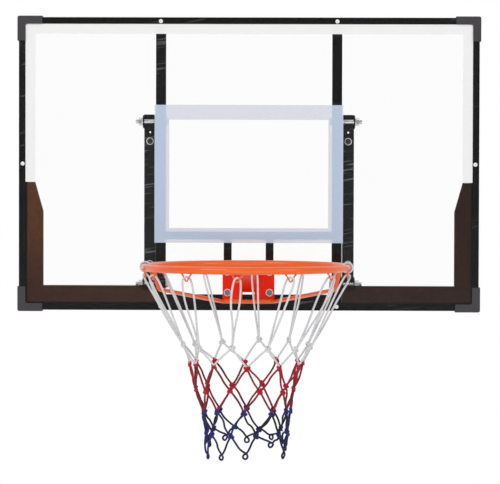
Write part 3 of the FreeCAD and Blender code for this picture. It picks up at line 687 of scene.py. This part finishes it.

# %% [markdown]
# ## Finishing the net
# The three colours are three pieces. Each has one finish for its strands and a brighter one for its
# knots, where the doubled cord is thicker. One finish with a mask could do both, but two material slots
# keep the colours plain to see and to change.

# %% Finishing the net
def new_piece(name, shape, slot, *materials):
    """Turns a bmesh into a smooth piece that rides with the rest."""
    for face in shape.faces:
        face.smooth = True
    mesh = bpy.data.meshes.new(name)
    shape.to_mesh(mesh)
    shape.free()
    for material in materials:
        mesh.materials.append(material)
    piece = bpy.data.objects.new(name, mesh)
    bpy.context.scene.collection.objects.link(piece)
    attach(piece, "root")
    print(name, len(mesh.polygons), "faces")
    return piece


def net_piece(name, shape, strand, knot):
    piece = new_piece(name, shape, "net_cord", strand, knot)
    piece.data.uv_layers[0].name = "cord"
    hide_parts("net")


net_piece("net_white", white,
          braided_cord("white_cord", dye(222, 222, 224), dye(240, 240, 240), dye(186, 186, 191)),
          braided_cord("white_knot", dye(228, 228, 229), dye(236, 236, 236), dye(190, 190, 194)))
net_piece("net_red", red,
          braided_cord("red_cord", dye(120, 20, 36), dye(218, 30, 52), dye(64, 8, 24)),
          braided_cord("red_knot", dye(206, 24, 42), dye(230, 28, 46), dye(134, 12, 32)))
net_piece("net_blue", blue,
          braided_cord("blue_cord", dye(18, 20, 38), dye(36, 48, 136), dye(10, 10, 22)),
          braided_cord("blue_knot", dye(34, 46, 134), dye(42, 58, 166), dye(16, 22, 74)))

# %% [markdown]
# ## Weld beads
# Ring, arm, plate, brace and tubes are welded, and every joint has a bead of metal under the coat. A
# bevel on the joined pieces could stand for it, but they come ready made and stay as they are. A bead is
# laid much like a cord, so the same function makes it: a spline along the joint with a round bevel. A
# point given twice makes a tight corner. Under each leg of a hook the weld is only a drop, a small ball
# half sunk in the rod.

# %% Weld beads on the rim
BEAD = 3 * MM
DROP = 3 * MM
HOOK_HALF_WIDTH = 12 * MM
BRACE_ROD = 10 * MM
FOOT_WELD = (18, 58)


def dressing(name, shape, material, slot):
    bmesh.ops.recalc_face_normals(shape, faces=shape.faces)
    new_piece(name, shape, slot, material)


def bead(shape, corners):
    laid_cord(shape, [Vector(corner) for corner in corners], thickness=BEAD)


def three_sided_bead(shape, start, first, second, end):
    """A bead with two tight corners between its ends."""
    bead(shape, [start, first, first, second, second, end])


rim_welds = bmesh.new()
for i in range(HOOKS):
    for side in (-1, 1):
        out, along = around_ring(HOOK_TURN + STEP * i + side * HOOK_HALF_WIDTH / RING_RADIUS)
        foot = Matrix.Translation(RING + out * RING_RADIUS - UP * (ROD / 2))
        bmesh.ops.create_icosphere(rim_welds, subdivisions=2, radius=DROP, matrix=foot)
plate_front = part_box("rim_plate")[0].y
foot_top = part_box("rim_brace")[0].z + BRACE_ROD
for side in (-1, 1):
    bead(rim_welds, [(side * inset * MM, plate_front, foot_top) for inset in FOOT_WELD])
dressing("rim_welds", rim_welds, finishes["rim_ring"], "rim_orange")

# %% Weld beads on the arm
arm_welds = bmesh.new()
low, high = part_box("rim_arm")
ends = [(low.x, low.z), (low.x, high.z), (high.x, high.z), (high.x, low.z)]
three_sided_bead(arm_welds, *[(x, plate_front, z) for x, z in ends])
reach = RING_RADIUS + ROD / 2
tips = [high.x * half / 2 for half in (-2, -1, 0, 1, 2)]
bead(arm_welds, [(x, RING.y + math.sqrt(reach ** 2 - x ** 2), high.z) for x in tips])
dressing("arm_welds", arm_welds, finishes["rim_plate"], "plate_red")

# %% Weld beads on the frame
frame_welds = bmesh.new()
for name in ("crossbar_upper", "crossbar_lower"):
    low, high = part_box(name)
    ends = [(low.y, high.z), (high.y, high.z), (high.y, low.z), (low.y, low.z)]
    for x in (low.x, high.x):
        three_sided_bead(frame_welds, *[(x, y, z) for y, z in ends])
frame_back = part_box("frame_top")[1].y
for name in ("strut_left", "strut_right", "upright_left", "upright_right"):
    low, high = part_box(name)
    back = min(high.y, frame_back)
    ends = [(low.x, low.y), (low.x, back), (high.x, back), (high.x, low.y)]
    for z in (low.z, high.z):
        three_sided_bead(frame_welds, *[(x, y, z) for x, y in ends])
rail_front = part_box("wall_rail_left")[0].y
for name in ("clevis_upper_left", "clevis_upper_right", "clevis_lower_left", "clevis_lower_right"):
    low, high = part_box(name)
    for z in (low.z, high.z):
        bead(frame_welds, [(low.x, rail_front, z), (high.x, rail_front, z)])
dressing("frame_welds", frame_welds, finishes["frame"], "frame_black")

# %% [markdown]
# ## Threads
# Where a bolt's end can be seen, it shows its thread. A stack of rings would look much the same, but the
# ridge of a real thread is one helix. A small three-sided ridge is carried round the shank while it moves
# along, which is just what the spin operator does when each step also has a shift. Filling its two ends
# closes it, and its root lies a little inside the shank.

# %% Threads
RIDGE = 0.4 * MM
RIDGE_PROFILE = ((0, -0.5), (0.45, 1), (0.9, -0.5))
TURN_STEPS = 16
# Radius and pitch.
WALL_THREAD = (4 * MM, 1.25 * MM)
CLEVIS_THREAD = (5 * MM, 1.5 * MM)
WALL_BOLT = Vector((242 * MM, 0, 150 * MM))
CLEVIS_BOLT = Vector((0, -45 * MM, 197.5 * MM))


def thread(shape, start, run, radius, pitch):
    """A screw ridge on a shank that runs on from its start."""
    line = run.normalized()
    aside = line.orthogonal().normalized()
    turns = math.floor(run.length / pitch) - 1
    verts = []
    for x, y in RIDGE_PROFILE:
        verts.append(shape.verts.new(start + line * (pitch * x) + aside * (radius + RIDGE * y)))
    edges = [shape.edges.new(pair) for pair in zip(verts, verts[1:] + verts[:1])]
    bmesh.ops.spin(shape, geom=verts + edges, cent=start, axis=line, dvec=line * (pitch / TURN_STEPS),
                   angle=2 * math.pi * turns, steps=turns * TURN_STEPS)
    bmesh.ops.holes_fill(shape, edges=shape.edges, sides=len(RIDGE_PROFILE))


wall_threads, clevis_threads = bmesh.new(), bmesh.new()
wall_run = Vector((0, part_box("wall_bolts")[1].y, 0))
nuts_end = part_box("clevis_nuts")[1].x
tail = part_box("clevis_bolts")[1].x
for x in (-1, 1):
    for z in (-1, 1):
        wall_start = Vector((x * WALL_BOLT.x, 0, z * WALL_BOLT.z))
        thread(wall_threads, wall_start, wall_run, *WALL_THREAD)
        tail_start = Vector((x * nuts_end, CLEVIS_BOLT.y, z * CLEVIS_BOLT.z))
        thread(clevis_threads, tail_start, Vector((x * (tail - nuts_end), 0, 0)), *CLEVIS_THREAD)
dressing("wall_bolt_threads", wall_threads, finishes["wall_bolts"], "dark_steel")
dressing("clevis_bolt_threads", clevis_threads, zinc, "zinc")

# %% [markdown]
# ## The white room
# The board is shown against plain white. More light would whiten the background and wash out the pale
# films with it. So the world is white to the camera and behind anything see-through, while its light on
# the object is a softer grey. Gloss mirrors it darker still in front and at the sides, as a dim room
# would be, and white only behind the board.

# %% World
AMBIENT = 0.62
STUDIO = 0.36
STUDIO_SIDES = 0.2


class Sky(Finish):
    """The world's nodes, made in the same way as a finish."""

    def __init__(self, world):
        self.tree = world.node_tree
        self.tree.nodes.clear()


world = bpy.data.worlds.new("studio")
bpy.context.scene.world = world
world.use_nodes = True
sky = Sky(world)
seen = sky.add("LightPath", out="Is Camera Ray")
mirrored = seen.beside("Is Glossy Ray")
shown = seen.math("MAXIMUM", seen.beside("Is Transmission Ray"))
depth = sky.part_of(sky.add("TexCoord", out="Generated"), "Y")
behind = depth.held(-0.1, 0.4)
in_front = depth.held(0.1, -0.8)
in_gloss = STUDIO_SIDES + in_front * (STUDIO - STUDIO_SIDES) + behind * (1 - STUDIO_SIDES)
plain = 1 - shown.math("MAXIMUM", mirrored)
strength = shown + mirrored * in_gloss + plain * AMBIENT
background = sky.add("Background", {}, {"Color": CLEAR, "Strength": strength})
sky.add("OutputWorld", {}, {"Surface": background})
print("world:", len(sky.tree.nodes), "nodes")

# %% [markdown]
# ## Lamps
# Four soft area lamps light the board, because a small lamp would draw hard shadows behind the sheet. A
# large one from the upper left gives the form, and a weaker one from the right opens its shadows. A thin
# strip above draws the bright streak along the ring, and a faint one below lights the underside of the
# rim and the net.

# %% Lamps
MIDDLE = Vector((0, -0.25, -0.05))


def soft_lamp(name, place, width, height, power):
    data = bpy.data.lights.new(name, "AREA")
    data.shape = "RECTANGLE"
    data.size = width
    data.size_y = height
    data.energy = power
    lamp = bpy.data.objects.new(name, data)
    bpy.context.scene.collection.objects.link(lamp)
    lamp.location = place
    lamp.rotation_euler = (MIDDLE - Vector(place)).to_track_quat("-Z", "Y").to_euler()
    print(name, power, "W")


soft_lamp("lamp_left", (-2.2, -3.2, 2.4), width=2.0, height=1.2, power=48)
soft_lamp("lamp_right", (2.6, -2.8, 1.4), width=1.2, height=1.6, power=22)
soft_lamp("lamp_strip", (0.2, -2.6, 2.6), width=1.8, height=0.12, power=6)
soft_lamp("lamp_low", (0, -1.9, -0.7), width=1.2, height=0.15, power=2.5)

# %% [markdown]
# ## Floor
# A pale floor below the net takes the object's soft shadow. An edge or a horizon would show in the
# picture, so the floor fades into the white of the room, both away from the board and behind it.

# %% Floor
FLOOR_RADIUS = 3.0
FLOOR_MIDDLE = (0, -0.35, -0.75)
FADE_FROM, FADE_TO = 1.2, 2.4
WALL_FADE_FROM, WALL_FADE_TO = 0.15, 0.45


def pale_floor():
    pale = Finish("pale_floor")
    where = pale.place()
    far = pale.add("VectorMath", {"operation": "LENGTH"}, {0: where}, "Value").held(FADE_FROM, FADE_TO)
    at_wall = pale.part_of(where, "Y").held(WALL_FADE_FROM, WALL_FADE_TO)
    mottle = pale.noise(where, 3)
    matt = pale.surface({
        "Base Color": pale.tint(mottle, dye(248, 248, 248), dye(251, 251, 251)),
        "Roughness": 0.8 + mottle * 0.1,
    })
    room = pale.add("Emission", {}, {"Color": CLEAR, "Strength": 1.0})
    return pale.done(pale.blend(far.math("MAXIMUM", at_wall), matt, room))


floor_shape = bmesh.new()
bmesh.ops.create_circle(floor_shape, cap_ends=True, segments=64, radius=FLOOR_RADIUS)
bmesh.ops.translate(floor_shape, verts=floor_shape.verts, vec=FLOOR_MIDDLE)
floor_mesh = bpy.data.meshes.new("floor")
floor_shape.to_mesh(floor_mesh)
floor_shape.free()
floor_mesh.materials.append(pale_floor())
floor = bpy.data.objects.new("floor", floor_mesh)
bpy.context.scene.collection.objects.link(floor)
print("floor: radius", FLOOR_RADIUS, "m")

# %% [markdown]
# ## Camera
# The picture looks straight at the board from about seven metres, level with the board's middle and a
# hand's width to its right: the edges stay square, while the ring is seen a little from above. The camera
# stands there and tips down slightly to bring the net into the frame, with a roll too small to notice.
# Its lens could be found by trying, but it follows from the size of the board in the picture.

# %% Camera
PICTURE_WIDTH = 500
PICTURE_HEIGHT = 484
BOARD_CENTRE_PX = (248.6, 164.1)
PX_PER_METRE = 411.8
DISTANCE = 7.0
EYE_TO_RIGHT = 0.097
ROLL = math.radians(0.15)
SENSOR_WIDTH = 36
FAR_END = 100

board_low, board_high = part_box("board_panel")
board_middle = (board_low + board_high) / 2
eye = Vector((board_middle.x + EYE_TO_RIGHT, board_low.y - DISTANCE, board_middle.z))
aim = Vector((
    (PICTURE_WIDTH / 2 - BOARD_CENTRE_PX[0]) / PX_PER_METRE,
    board_low.y,
    board_middle.z - (PICTURE_HEIGHT / 2 - BOARD_CENTRE_PX[1]) / PX_PER_METRE,
))
camera_data = bpy.data.cameras.new("camera")
camera_data.sensor_width = SENSOR_WIDTH
camera_data.lens = PX_PER_METRE * DISTANCE / PICTURE_WIDTH * SENSOR_WIDTH
camera_data.clip_end = FAR_END
camera = bpy.data.objects.new("camera", camera_data)
bpy.context.scene.collection.objects.link(camera)
camera.location = eye
gaze = (aim - eye).to_track_quat("-Z", "Y").to_matrix()
camera.rotation_euler = (gaze @ Matrix.Rotation(ROLL, 3, "Z")).to_euler()
bpy.context.scene.camera = camera
bpy.context.scene.view_settings.view_transform = "Standard"
print("camera: lens", round(camera_data.lens, 1), "mm at", [round(x, 3) for x in eye])
